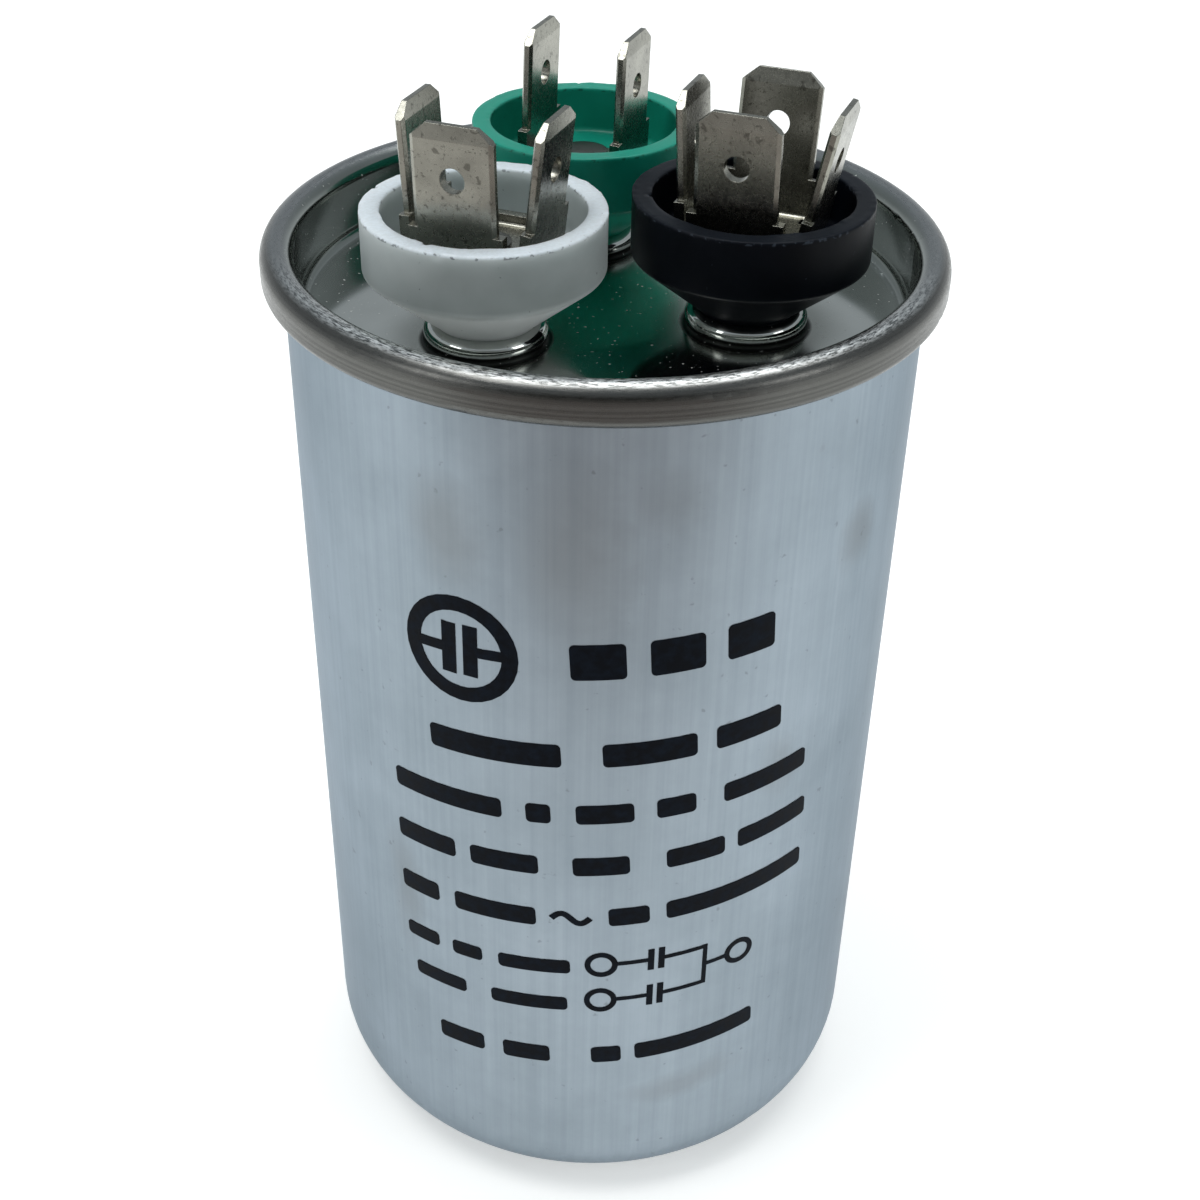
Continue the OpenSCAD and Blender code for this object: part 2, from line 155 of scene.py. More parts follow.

# White paper: matt and even, with painted shade towards the viewer
paper, tree = new_material("white_paper")
path = add(tree, "LightPath")
shiny_links = {0: path.outputs["Is Glossy Ray"], 1: path.outputs["Is Transmission Ray"]}
shiny = add(tree, "Math", {"operation": "MAXIMUM"}, shiny_links)
seen = add(tree, "Math", {"operation": "MAXIMUM"}, {0: path.outputs["Is Camera Ray"], 1: shiny.outputs[0]})
place = add(tree, "SeparateXYZ", {}, {"Vector": add(tree, "TexCoord").outputs["Object"]})
square = add(tree, "Math", {"operation": "POWER", 1: 2.0}, {0: place.outputs["X"]})
bow = {"operation": "MULTIPLY_ADD", 1: GRADE_CURVE}
reach = add(tree, "Math", bow, {0: square.outputs[0], 2: place.outputs["Y"]})
grade = {"interpolation_type": "SMOOTHSTEP", "From Min": GRADE_FAR, "From Max": GRADE_NEAR}
# Painted shade: the paper's colour turns to the warm grey towards the viewer
shade = add(tree, "MapRange", grade, {"Value": reach.outputs[0]})
ground = add(tree, "MixRGB", {"Color1": linear(SHADE_GREY), "Color2": linear(PAPER)}, {"Fac": shade.outputs[0]})
glow = add(tree, "Math", {"operation": "MULTIPLY", 1: PAPER_GLOW}, {0: seen.outputs[0]})
sheet = add(tree, "BsdfDiffuse", {}, {"Color": ground.outputs[0]})
lift = add(tree, "Emission", {}, {"Color": ground.outputs[0], "Strength": glow.outputs[0]})
both = add(tree, "AddShader", {}, {0: sheet.outputs[0], 1: lift.outputs[0]})
add(tree, "OutputMaterial", {}, {"Surface": both.outputs[0]})
floor_mesh.materials.append(paper)
print("paper turns grey from", GRADE_NEAR, "to", GRADE_FAR, "m in front")

# %% [markdown]
# ## Sky and lamps
#
# The sky is pale at the horizon and greyer above, because bright tinplate needs some contrast around it.
# Behind the viewer it is darker still, as a room is. A large soft lamp and a smaller one hang above, and two
# weaker ones stand to the left and right. A picture of a studio could light the part too, but a ramp over
# the height of the sky and four lamps say plainly where each light comes from.

# %% Sky
SKY_STOPS = [(0.0, "#dfe3e6"), (0.12, "#c8cdd1"), (0.34, "#9ca2a6"), (0.75, "#a4acb2"), (1.0, "#c4cdd4")]
ROOM_STOPS = [(0.0, "#cdc8c2"), (0.10, "#7e7871"), (0.45, "#7e7871"), (0.8, "#ffffff")]
ROOM_EDGE = -0.5
ROOM_MIDDLE = -0.95

scene.world = bpy.data.worlds.new("studio")
scene.world.use_nodes = True
tree = scene.world.node_tree
tree.nodes.clear()
split = add(tree, "SeparateXYZ", {}, {"Vector": add(tree, "TexCoord").outputs["Generated"]})
sky = add(tree, "ValToRGB", {"stops": SKY_STOPS}, {"Fac": split.outputs["Z"]})
room = add(tree, "ValToRGB", {"stops": ROOM_STOPS}, {"Fac": split.outputs["Z"]})
ahead = add(tree, "MapRange", {"From Min": ROOM_EDGE, "From Max": ROOM_MIDDLE}, {"Value": split.outputs["Y"]})
sky_and_room = {"Fac": ahead.outputs[0], "Color1": sky.outputs["Color"], "Color2": room.outputs["Color"]}
around = add(tree, "MixRGB", {"blend_type": "MULTIPLY"}, sky_and_room)
light = add(tree, "Background", {}, {"Color": around.outputs[0]})
add(tree, "OutputWorld", {}, {"Surface": light.outputs[0]})
print("sky:", len(SKY_STOPS), "shades from the horizon up")

# %% Lamps
# Each lamp: name, place, side of its square and power
LAMPS = [
    ("top_softbox", (0.12, 0.14, 0.75), 0.50, 2.1),
    ("high_window", (-0.24, -0.075, 0.75), 0.30, 1.6),
    ("left_window", (-0.66, -0.42, 0.46), 0.30, 0.70),
    ("right_window", (0.72, -0.34, 0.46), 0.30, 0.70),
]
AIM = Vector((0, 0, 60)) * MM
for name, place, side, power in LAMPS:
    lamp = bpy.data.objects.new(name, bpy.data.lights.new(name, "AREA"))
    lamp.data.size = side
    lamp.data.energy = power
    lamp.location = place
    lamp.rotation_euler = (AIM - lamp.location).to_track_quat("-Z", "Y").to_euler()
    scene.collection.objects.link(lamp)
print("lamps:", ", ".join(name for name, *_ in LAMPS))

# %% [markdown]
# ## Drawn aluminium
#
# The can is pulled from a disc of aluminium through a die, so it has faint streaks along its height and a
# satin, slightly blue surface. Handling leaves cloudy patches, and a few spots. Three darker patches high at
# the front are painted reflection of the darker room in front. The streaks are noise stretched along Z. A
# picture texture could show them too, but noise has no seam and fits any can.

# %% Metal of the can
CAN_R = 25.0

# Real drawing lines are mostly finer than a pixel, so the streaks are as wide as they need to be to show
STREAK_WIDTH = 0.55
STREAK_LENGTH = 45.0
CLOUD_SIZE = 16.0
SPECK_SIZE = 0.9

# Most of a noise lies between these two values
NOISE_LOW = 0.3
NOISE_HIGH = 0.7

# Satin drawn aluminium: wide soft reflections, streaked along the height
aluminium, tree = new_material("satin_drawn_aluminium")
spot = add(tree, "TexCoord").outputs["Object"]
stretch = (1 / (STREAK_WIDTH * MM), 1 / (STREAK_WIDTH * MM), 1 / (STREAK_LENGTH * MM))
along = add(tree, "Mapping", {"Scale": stretch}, {"Vector": spot})
drawing = {"Scale": 1.0, "Detail": 3.0, "Roughness": 0.6}
streaks = add(tree, "TexNoise", drawing, {"Vector": along.outputs[0]})
clouding = {"Scale": 1 / (CLOUD_SIZE * MM), "Detail": 5.0, "Roughness": 0.62}
clouds = add(tree, "TexNoise", clouding, {"Vector": spot})
metal_stops = [(NOISE_LOW, "#8d98a0"), (NOISE_HIGH, "#a5b0b9")]
metal = add(tree, "ValToRGB", {"stops": metal_stops}, {"Fac": clouds.outputs["Fac"]})
line_stops = [(NOISE_LOW, "#f2f3f4"), (NOISE_HIGH, "#ffffff")]
lines = add(tree, "ValToRGB", {"stops": line_stops}, {"Fac": streaks.outputs["Fac"]})
lined = {"Color1": metal.outputs[0], "Color2": lines.outputs[0]}
drawn = add(tree, "MixRGB", {"blend_type": "MULTIPLY", "Fac": 1.0}, lined)
print("can: streaks", STREAK_WIDTH, "mm wide, clouds", CLOUD_SIZE, "mm")

# %% Rubbed patches and painted reflection on the can
# Each patch: arc from the front, height, half width, half height, in mm, and strength. The first three,
# high at the front, are painted reflection of the darker room in front; the rest are smudges from handling
SMUDGES_AND_REFLECTION = [
    (-12.0, 71.5, 3.4, 5.0, 0.50),
    (-1.5, 71.0, 4.5, 8.0, 0.45),
    (5.0, 75.5, 3.0, 3.0, 0.25),
    (22.5, 67.0, 2.2, 3.2, 0.50),
    (16.9, 77.4, 0.55, 0.5, 0.90),
    (-17.5, 33.0, 2.2, 7.0, 0.40),
    (9.0, 14.0, 6.0, 1.8, 0.35),
    (15.5, 49.0, 2.0, 3.0, 0.30),
]
PATCH_RAGGED = 7.0
PATCH_CORE = 0.35
PATCH_EDGE = 1.15


def on_can(arc, height, radius=CAN_R):
    """Point on the can's wall, from an arc length round it, to the right of the front, and a height."""
    angle = arc / CAN_R
    return Vector((radius * sin(angle), -radius * cos(angle), height)) * MM


# The clouds push each patch out of round, by half of their reach on average
ragged_by = {"operation": "SCALE", "Scale": PATCH_RAGGED * MM}
edge = add(tree, "VectorMath", ragged_by, {0: clouds.outputs["Color"]})
ragged = add(tree, "VectorMath", {"operation": "ADD"}, {0: spot, 1: edge.outputs[0]})
mean_push = Vector((1, 1, 1)) * PATCH_RAGGED / 2 * MM
wear_and_reflection = None
for arc, height, half_w, half_h, strength in SMUDGES_AND_REFLECTION:
    middle = on_can(arc, height) + mean_push
    off = add(tree, "VectorMath", {"operation": "SUBTRACT", 1: middle}, {0: ragged.outputs[0]})
    scale = (1 / (half_w * MM), 1 / (half_w * MM), 1 / (half_h * MM))
    sized = add(tree, "VectorMath", {"operation": "MULTIPLY", 1: scale}, {0: off.outputs[0]})
    far = add(tree, "VectorMath", {"operation": "LENGTH"}, {0: sized.outputs[0]})
    fade = {"From Min": PATCH_CORE, "From Max": PATCH_EDGE, "To Min": strength, "To Max": 0.0}
    patch = add(tree, "MapRange", fade, {"Value": far.outputs["Value"]})
    if wear_and_reflection is None:
        wear_and_reflection = patch.outputs[0]
    else:
        wear_and_reflection = add(tree, "Math", {"operation": "MAXIMUM"}, {0: wear_and_reflection, 1: patch.outputs[0]}).outputs[0]
# Painted reflection of the darker room, high at the front, and smudges from handling darken the metal
rubbed_and_reflecting = add(tree, "MixRGB", {"Color2": linear("#7d8183")}, {"Fac": wear_and_reflection, "Color1": drawn.outputs[0]})
print("can:", len(SMUDGES_AND_REFLECTION), "rubbed patches")

# %% Spots and gloss of the can
specks = add(tree, "TexNoise", {"Scale": 1 / (SPECK_SIZE * MM), "Detail": 2.0}, {"Vector": spot})
rare = {"From Min": 0.71, "From Max": 0.76, "To Min": 0.0, "To Max": 0.45}
dots = add(tree, "MapRange", rare, {"Value": specks.outputs["Fac"]})
spotted = add(
    tree, "MixRGB", {"Color2": linear("#6d7276")},
    {"Fac": dots.outputs[0], "Color1": rubbed_and_reflecting.outputs[0]},
)
satin_range = {"From Min": NOISE_LOW, "From Max": NOISE_HIGH, "To Min": 0.36, "To Max": 0.46}
satin = add(tree, "MapRange", satin_range, {"Value": clouds.outputs["Fac"]})
relief = add(tree, "Bump", {"Strength": 0.045, "Distance": 0.02 * MM}, {"Height": streaks.outputs["Fac"]})
skin = add(
    tree, "BsdfPrincipled", {"Metallic": 1.0, "Specular Tint": linear("#cfd4d9")},
    {"Base Color": spotted.outputs[0], "Roughness": satin.outputs[0], "Normal": relief.outputs[0]},
)
add(tree, "OutputMaterial", {}, {"Surface": skin.outputs[0]})
nodes["can"].data.materials[0] = aluminium
print("can in", aluminium.name)

# %% [markdown]
# ## Tinplate
#
# The lid is bright tinned steel. Its panel keeps the mill's mirror and shows the cups upside down, but the
# rollers that closed the seam scraped its crown and left its outer side dull and dark. The scuffs on the
# front of the crown are partly a painted highlight. Round each neck the panel is made hazy here, or it would
# mirror the bead as a second ring, and it is darkened under each cup as painted shade. The corner below the
# bead is darkened as painted shade with some grime, and the inner wall of the seam is darker as painted
# shade. Two materials could share the lid face by face. One material with masks by radius and height wears
# from one into the other, as the real sheet does.

# %% Masks on the lid
CROWN_LOW = 83.0
CROWN_HIGH = 84.2
ROLL_IN = 24.45
ROLL_OUT = 24.95
BAND_IN = 25.65
BAND_OUT = 26.15
WALL_IN = 22.9
WALL_OUT = 23.6
FRONT_FROM = -6.0
FRONT_FULL = -20.0

# Seamed tinplate: a mirror on the panel and the beads, scraped and dull on the seam
tinplate, tree = new_material("seamed_tinplate")
spot = add(tree, "TexCoord").outputs["Object"]
split = add(tree, "SeparateXYZ", {}, {"Vector": spot})
height = split.outputs["Z"]
flat = add(tree, "VectorMath", {"operation": "MULTIPLY", 1: (1, 1, 0)}, {0: spot}).outputs[0]
radius = add(tree, "VectorMath", {"operation": "LENGTH"}, {0: flat}).outputs["Value"]
raised = add(tree, "MapRange", {"From Min": CROWN_LOW * MM, "From Max": CROWN_HIGH * MM}, {"Value": height})
outer = add(tree, "MapRange", {"From Min": ROLL_IN * MM, "From Max": ROLL_OUT * MM}, {"Value": radius})
crown = add(tree, "Math", {"operation": "MULTIPLY"}, {0: raised.outputs[0], 1: outer.outputs[0]})
band = add(tree, "MapRange", {"From Min": BAND_IN * MM, "From Max": BAND_OUT * MM}, {"Value": radius})
wall = add(tree, "MapRange", {"From Min": WALL_IN * MM, "From Max": WALL_OUT * MM}, {"Value": radius})
seam = add(tree, "Math", {"operation": "MAXIMUM"}, {0: crown.outputs[0], 1: band.outputs[0]})
front_range = {"From Min": FRONT_FROM * MM, "From Max": FRONT_FULL * MM}
front = add(tree, "MapRange", front_range, {"Value": split.outputs["Y"]})
print("lid: seam from", CROWN_LOW, "mm up, dull band from radius", BAND_IN, "mm")

# %% Corners round the necks
CORNER_LOW = 79.55
CORNER_HIGH = 79.75
CORNER_IN = 4.95
CORNER_OUT = 5.2
HAZE_IN = 5.0
HAZE_OUT = 8.8
HAZE_MOST = 0.7

# The distance to the nearest cup's axis tells what lies round a neck, and the height what lies below its bead
gap = None
for name in ("compressor_cup", "fan_cup", "common_cup"):
    low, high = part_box(name)
    axis = Vector(((low.x + high.x) / 2, (low.y + high.y) / 2, 0))
    away = add(tree, "VectorMath", {"operation": "DISTANCE", 1: axis}, {0: flat}).outputs["Value"]
    gap = away if gap is None else add(tree, "Math", {"operation": "MINIMUM"}, {0: gap, 1: away}).outputs[0]
near_neck = add(tree, "MapRange", {"From Min": CORNER_OUT * MM, "From Max": CORNER_IN * MM}, {"Value": gap})
lifted = add(tree, "MapRange", {"From Min": CORNER_LOW * MM, "From Max": CORNER_HIGH * MM}, {"Value": height})
below = add(tree, "Math", {"operation": "SUBTRACT", 0: 1.0}, {1: lifted.outputs[0]})
# Corner below each bead, where painted shade with some grime darkens the sheet
shaded_corner = add(tree, "Math", {"operation": "MULTIPLY"}, {0: near_neck.outputs[0], 1: below.outputs[0]})
haze_range = {"From Min": HAZE_OUT * MM, "From Max": HAZE_IN * MM, "To Max": HAZE_MOST}
haze = add(tree, "MapRange", {"interpolation_type": "SMOOTHSTEP", **haze_range}, {"Value": gap})
print("lid: grime within", CORNER_OUT, "mm and haze within", HAZE_OUT, "mm of each cup's axis")

# %% Patterns on the lid
ROLL_MARK = 0.22
SCUFF_LONG = 0.6
SCUFF_WIDE = 0.13
STAIN_SIZE = 9.0
DUST_SIZE = 0.32

# Scuffs follow the seam: the pattern is read along the turn, the height and the radius
turn = add(tree, "VectorMath", {"operation": "NORMALIZE"}, {0: flat})
round_by = {"operation": "SCALE", "Scale": CAN_R / SCUFF_LONG}
round_seam = add(tree, "VectorMath", round_by, {0: turn.outputs[0]})
rise = add(tree, "VectorMath", {"operation": "MULTIPLY", 1: (0, 0, 1 / (SCUFF_WIDE * MM))}, {0: spot})
scuff_at = add(tree, "VectorMath", {"operation": "ADD"}, {0: round_seam.outputs[0], 1: rise.outputs[0]})
depth = add(tree, "Math", {"operation": "MULTIPLY", 1: 1 / (SCUFF_WIDE * MM)}, {0: radius})
scuffing = {"noise_dimensions": "4D", "Scale": 1.0, "Detail": 4.0, "Roughness": 0.65}
scuffs = add(tree, "TexNoise", scuffing, {"Vector": scuff_at.outputs[0], "W": depth.outputs[0]})
rings_at = add(tree, "CombineXYZ", {}, {"X": radius, "Y": height})
rings = add(tree, "TexNoise", {"Scale": 1 / (ROLL_MARK * MM), "Detail": 2.0}, {"Vector": rings_at.outputs[0]})
stain = add(tree, "TexNoise", {"Scale": 1 / (STAIN_SIZE * MM), "Detail": 3.0}, {"Vector": spot})
dust = add(tree, "TexNoise", {"Scale": 1 / (DUST_SIZE * MM), "Detail": 1.0}, {"Vector": spot})
print("lid: scuffs", SCUFF_LONG, "by", SCUFF_WIDE, "mm, dust", DUST_SIZE, "mm")

# %% Colours of the lid
# Bright panel and beads; painted shade under the cups, in the corners below the beads with some grime, and
# on the inner wall; grey crown scuffed at the front, with a painted highlight there; dull outer band
plain_stops = [(0.35, "#c6c9c5"), (0.65, "#d3d6d2")]
plain = add(tree, "ValToRGB", {"stops": plain_stops}, {"Fac": stain.outputs["Fac"]})
# Painted shade under each cup, darker towards its neck
shaded_under_cups = add(
    tree, "MixRGB", {"Color2": linear("#868983")},
    {"Fac": haze.outputs[0], "Color1": plain.outputs[0]},
)
# Painted shade, with some grime, in the corner below each bead
grime_and_shade = add(
    tree, "MixRGB", {"Color2": linear("#2e302e")},
    {"Fac": shaded_corner.outputs[0], "Color1": shaded_under_cups.outputs[0]},
)
panel_links = {"Fac": lifted.outputs[0], "Color1": grime_and_shade.outputs[0], "Color2": plain.outputs[0]}
panel = add(tree, "MixRGB", {}, panel_links)
# Painted shade on the inner wall of the seam's recess
shaded_wall_stops = [(0.35, "#828783"), (0.65, "#8f9490")]
shaded_wall = add(tree, "ValToRGB", {"stops": shaded_wall_stops}, {"Fac": stain.outputs["Fac"]})
# Scuffs on the front of the crown, whose bright stop is partly a painted highlight
scuff_highlight_stops = [(0.42, "#6a6c6b"), (0.58, "#f0f2f0")]
scuffs_and_highlight = add(tree, "ValToRGB", {"stops": scuff_highlight_stops}, {"Fac": scuffs.outputs["Fac"]})
worn_and_highlighted = add(
    tree, "MixRGB", {"Color1": linear("#8e9192")},
    {"Fac": front.outputs[0], "Color2": scuffs_and_highlight.outputs[0]},
)
dull_stops = [(NOISE_LOW, "#525250"), (NOISE_HIGH, "#6b6b68")]
dull = add(tree, "ValToRGB", {"stops": dull_stops}, {"Fac": rings.outputs["Fac"]})
sheet = panel
for mask, colour in ((wall, shaded_wall), (crown, worn_and_highlighted), (band, dull)):
    layers = {"Fac": mask.outputs[0], "Color1": sheet.outputs[0], "Color2": colour.outputs[0]}
    sheet = add(tree, "MixRGB", {}, layers)

# Dust lies on the dish, and not on the seam, where hands wipe it off
dust_range = {"From Min": 0.73, "From Max": 0.76, "To Min": 1.0, "To Max": 0.2}
clean = add(tree, "MapRange", dust_range, {"Value": dust.outputs["Fac"]})
bare = add(tree, "Math", {"operation": "MAXIMUM"}, {0: clean.outputs[0], 1: seam.outputs[0]})
dusty = add(
    tree, "MixRGB", {"Color1": linear("#b4b6b2")},
    {"Fac": bare.outputs[0], "Color2": sheet.outputs[0]},
)
print("lid: dusted from", dust_range["From Min"], "of the noise up")

# %% Gloss and relief of the lid
HAZY_ROUGH = 0.30
CORNER_ROUGH = 0.40
BEAD_ROUGH = 0.05
WALL_ROUGH = 0.14

# Mirror beads, a slightly hazy panel and wall, a satin seam
panel_range = {"From Min": 0.35, "From Max": 0.70, "To Min": 0.07, "To Max": 0.13}
gloss = add(tree, "MapRange", panel_range, {"Value": stain.outputs["Fac"]})
for mask, rough in ((haze, HAZY_ROUGH), (shaded_corner, CORNER_ROUGH), (lifted, BEAD_ROUGH), (wall, WALL_ROUGH)):
    gloss = add(tree, "Mix", {3: rough}, {0: mask.outputs[0], 2: gloss.outputs[0]})
matt_range = {"From Min": 0.35, "From Max": 0.65, "To Min": 0.24, "To Max": 0.36}
matt = add(tree, "MapRange", matt_range, {"Value": scuffs.outputs["Fac"]})
finish = add(tree, "Mix", {}, {0: seam.outputs[0], 2: gloss.outputs[0], 3: matt.outputs[0]})
ripple = add(tree, "Bump", {"Strength": 0.15, "Distance": 0.03 * MM}, {"Height": stain.outputs["Fac"]})
scuffed = add(tree, "Math", {"operation": "MULTIPLY"}, {0: crown.outputs[0], 1: front.outputs[0]})
cuts = add(tree, "Math", {"operation": "MULTIPLY"}, {0: scuffs.outputs["Fac"], 1: scuffed.outputs[0]})
relief_links = {"Height": cuts.outputs[0], "Normal": ripple.outputs[0]}
relief = add(tree, "Bump", {"Strength": 0.3, "Distance": 0.03 * MM}, relief_links)
skin_links = {"Base Color": dusty.outputs[0], "Metallic": bare.outputs[0], "Roughness": finish.outputs[0]}
skin = add(tree, "BsdfPrincipled", {}, {**skin_links, "Normal": relief.outputs[0]})
add(tree, "OutputMaterial", {}, {"Surface": skin.outputs[0]})
nodes["lid"].data.materials[0] = tinplate
print("lid in", tinplate.name)

# %% [markdown]
# ## Moulded cups
#
# The cups are moulded plastic, one colour for each terminal. Their solids have sharp clean rims, but the
# real rims are ragged: thin flash stands up where the mould closed, and small nicks are broken out. Bump
# can't change an outline, so each cup is turned again from its profile, with the rim's points moved by
# noise. The noise is read on a circle, so that it meets itself after a full turn.

# %% Profile of a cup
CUP_IN_R = 7.576
CUP_FLOOR = 85.838
CONE_FOOT = 80.75
NECK_R = 3.78
CONE_SLOPE = radians(39)
CORNER_R = 0.5
FLOOR_ROUND = 0.45
BORE_R = 1.55
FOOT_X = 3.95
FOOT_Z = 79.9
FOOT_R = 0.37

# The rim: size of its edge, how far the edge's middle is eased, and the flat beside it
RIM_EDGE = 0.14
RIM_EASE = 0.04
RIM_FLAT = 0.45

# Rings of points below the rim and above the floor, which keep the smooth shading of the wall even
BELOW_RIM = (0.35, 0.8, 1.8)
ABOVE_FLOOR = 1.8

# Where the cone eases into the neck: distance from the neck and from the cone's foot
NECK_EASE = [(0.18, 0.10), (0.05, -0.06), (0.0, -0.3)]


def arc_points(x, z, r, start, end, steps):
    """Points along an arc of a profile, angles in radians."""
    angles = [start + (end - start) * i / steps for i in range(steps + 1)]
    return [(x + r * cos(a), z + r * sin(a)) for a in angles]


def cup_profile(cup_r, rim_z, foot_z):
    """Closed profile of a cup, and which points lie on its rim: 1 on the outer edge, 2 on the inner."""
    cone_top = CONE_FOOT + (cup_r - NECK_R) * tan(CONE_SLOPE)
    cut = CORNER_R * tan((pi / 2 - CONE_SLOPE) / 2)
    corner_z = cone_top - cut * sin(CONE_SLOPE) + CORNER_R * cos(CONE_SLOPE)
    neck_meet = FOOT_Z + sqrt(FOOT_R ** 2 - (FOOT_X - NECK_R) ** 2)
    start = atan2(neck_meet - FOOT_Z, NECK_R - FOOT_X)
    near, far, _ = BELOW_RIM
    inside = [(BORE_R, foot_z), (BORE_R, CUP_FLOOR)]
    inside += arc_points(CUP_IN_R - FLOOR_ROUND, CUP_FLOOR + FLOOR_ROUND, FLOOR_ROUND, -pi / 2, 0, 5)
    inside += [(CUP_IN_R, z) for z in (CUP_FLOOR + ABOVE_FLOOR, rim_z - far, rim_z - near)]
    edge = [(0, -RIM_EDGE), (RIM_EASE, -RIM_EASE), (RIM_EDGE, 0)]
    inner_edge = [(CUP_IN_R + x, rim_z + z) for x, z in edge]
    outer_edge = [(cup_r - x, rim_z + z) for x, z in reversed(edge)]
    middle = [(x, rim_z) for x in (CUP_IN_R + RIM_FLAT, (CUP_IN_R + cup_r) / 2, cup_r - RIM_FLAT)]
    outside = [(cup_r, rim_z - drop) for drop in BELOW_RIM]
    outside += arc_points(cup_r - CORNER_R, corner_z, CORNER_R, 0, CONE_SLOPE - pi / 2, 8)
    outside += [(NECK_R + x, CONE_FOOT + z) for x, z in NECK_EASE]
    outside += arc_points(FOOT_X, FOOT_Z, FOOT_R, start, -pi / 2, 10) + [(FOOT_X, foot_z)]
    profile = inside + inner_edge + middle + outer_edge + outside
    kinds = [0] * len(inside) + [2] * len(inner_edge) + [0] * len(middle)
    kinds += [1] * len(outer_edge) + [0] * len(outside)
    return profile, kinds


print("cups: inner radius", CUP_IN_R, "mm, floor", CUP_FLOOR, "mm up")

# %% Ragged rims
FLASH_HIGH = 0.13
NICK_DEEP = 0.30

# How much of the flash and of a nick goes sideways
FLASH_OUT = 0.5
NICK_IN = 0.8

# Lengths round the rim of fine fraying, wide waves and nicks, and the share of the fraying
FRAY_LONG = 0.7
WAVE_LONG = 3.5
NICK_LONG = 0.9
FRAY_SHARE = 0.6

# Steps between the noises of a cup and of its two edges, so that none repeats another
SEED_STEP = 40
EDGE_STEP = 5.3


def rim_noise(angle, seed, size, edge):
    """Smooth noise round a rim whose bumps are about size mm long."""
    turn = CUP_IN_R / size
    return noise.noise(Vector((turn * cos(angle), turn * sin(angle), seed + EDGE_STEP * edge)))


def ragged_point(r, z, edge, angle, seed, flash, nick_at):
    """Point of a rim's edge, raised by flash or broken away by a nick."""
    fray = FRAY_SHARE * rim_noise(angle, seed, FRAY_LONG, edge)
    wide = rim_noise(angle, seed + SEED_STEP, WAVE_LONG, edge)
    chip = max(0.0, rim_noise(angle, seed + 2 * SEED_STEP, NICK_LONG, edge) - nick_at) / (1 - nick_at)
    rise = flash * FLASH_HIGH * max(0.0, fray + wide)
    side = 1 if edge == 1 else -1
    return r + (FLASH_OUT * rise - NICK_IN * NICK_DEEP * chip) * side, z + rise - NICK_DEEP * chip


print("rims: flash up to", FLASH_HIGH, "mm, nicks down to", NICK_DEEP, "mm")

# %% Turn the cups
CUP_TURNS = 420
SHARP_FROM = radians(50)

# Each cup's node, the seed of its rim, how much flash it has, and the noise from which it has nicks
CUPS = [("compressor_cup", 3.1, 1.0, 0.46), ("fan_cup", 7.7, 0.55, 0.56), ("common_cup", 12.4, 0.7, 0.47)]
for name, seed, flash, nick_at in CUPS:
    low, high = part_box(name)
    middle = (low + high) / 2
    cup_r = (high.x - low.x) / 2 / MM
    profile, kinds = cup_profile(cup_r, high.z / MM, low.z / MM)
    mesh = bmesh.new()
    rings = []
    for i in range(CUP_TURNS):
        angle = 2 * pi * i / CUP_TURNS
        ring = []
        for (r, z), edge in zip(profile, kinds):
            if edge:
                r, z = ragged_point(r, z, edge, angle, seed, flash, nick_at)
            point = (middle.x + r * MM * cos(angle), middle.y + r * MM * sin(angle), z * MM)
            ring.append(mesh.verts.new(point))
        rings.append(ring)
    for i, ring in enumerate(rings):
        after = rings[(i + 1) % CUP_TURNS]
        for j in range(len(profile)):
            k = (j + 1) % len(profile)
            face = mesh.faces.new((ring[j], ring[k], after[k], after[j]))
            face.smooth = True
    bmesh.ops.recalc_face_normals(mesh, faces=mesh.faces)
    data = bpy.data.meshes.new(name + "_moulded")
    mesh.to_mesh(data)
    mesh.free()
    data.set_sharp_from_angle(angle=SHARP_FROM)
    cup = bpy.data.objects.new(name + "_moulded", data)
    scene.collection.objects.link(cup)
    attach(cup, "root")
    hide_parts(name)
    print(cup.name, len(data.polygons), "faces, radius", round(cup_r, 3), "mm")

# %% [markdown]
# ## Moulded plastic
#
# Glass-filled nylon and the like leave the mould with a soft gloss and a faint grain. Flash and broken
# edges scatter light, so they look paler than the wall below them, and the top of each rim is paler partly
# as a painted highlight. The underside of each cup is paler as painted light, where the lid throws light up.
# White plastic lets a little light in, which softens its shadows. One loop makes the three colours, since
# only their pigments differ.

# %% Shades of the plastics
# Real moulded grain is finer than a pixel, so it is as coarse as it needs to be to show
GRAIN = 0.25
FLOW_SIZE = 5.0
NICK_SIZE = 0.45

# Heights where the painted light on the underside ends and the plain wall begins
LIT_BELOW = 84.4
PLAIN_ABOVE = 85.4

# The pale edge of a rim, partly a painted highlight, reaches this far below and above its top, and dirt lies
# round a line below it
RIM_PALE = 0.22
RIM_ABOVE = 0.1
DIRT_LINE = 0.15
DIRT_CORE = 0.06
DIRT_EDGE = 0.14

# Each plastic: node, slot, its two shades, its paler shade under the wall as painted light, the shades of its
# broken edges, partly a painted highlight, and of dirt, roughness, gloss, how much light goes in and how far
# in mm
PLASTICS = [
    ("compressor_cup", "white_plastic", "#a2a9a8", "#b0b7b6", "#f2f6f6", "#e6f4ff", "#4c5052",
     0.42, 0.4, 0.85, 4.0),
    ("fan_cup", "green_plastic", "#0a7f6a", "#0e8a74", "#16b497", "#1a8c77", "#064a3c",
     0.38, 0.28, 0.20, 1.2),
    ("common_cup", "black_plastic", "#03060c", "#060a12", "#060a12", "#10161e", "#3c434c",
     0.42, 0.10, 0.0, 0.5),
]

# How much smoother and rougher than its own roughness a plastic gets in patches
SMOOTHER = 0.05
ROUGHER = 0.08
print("plastics:", ", ".join(slot for _, slot, *_ in PLASTICS))

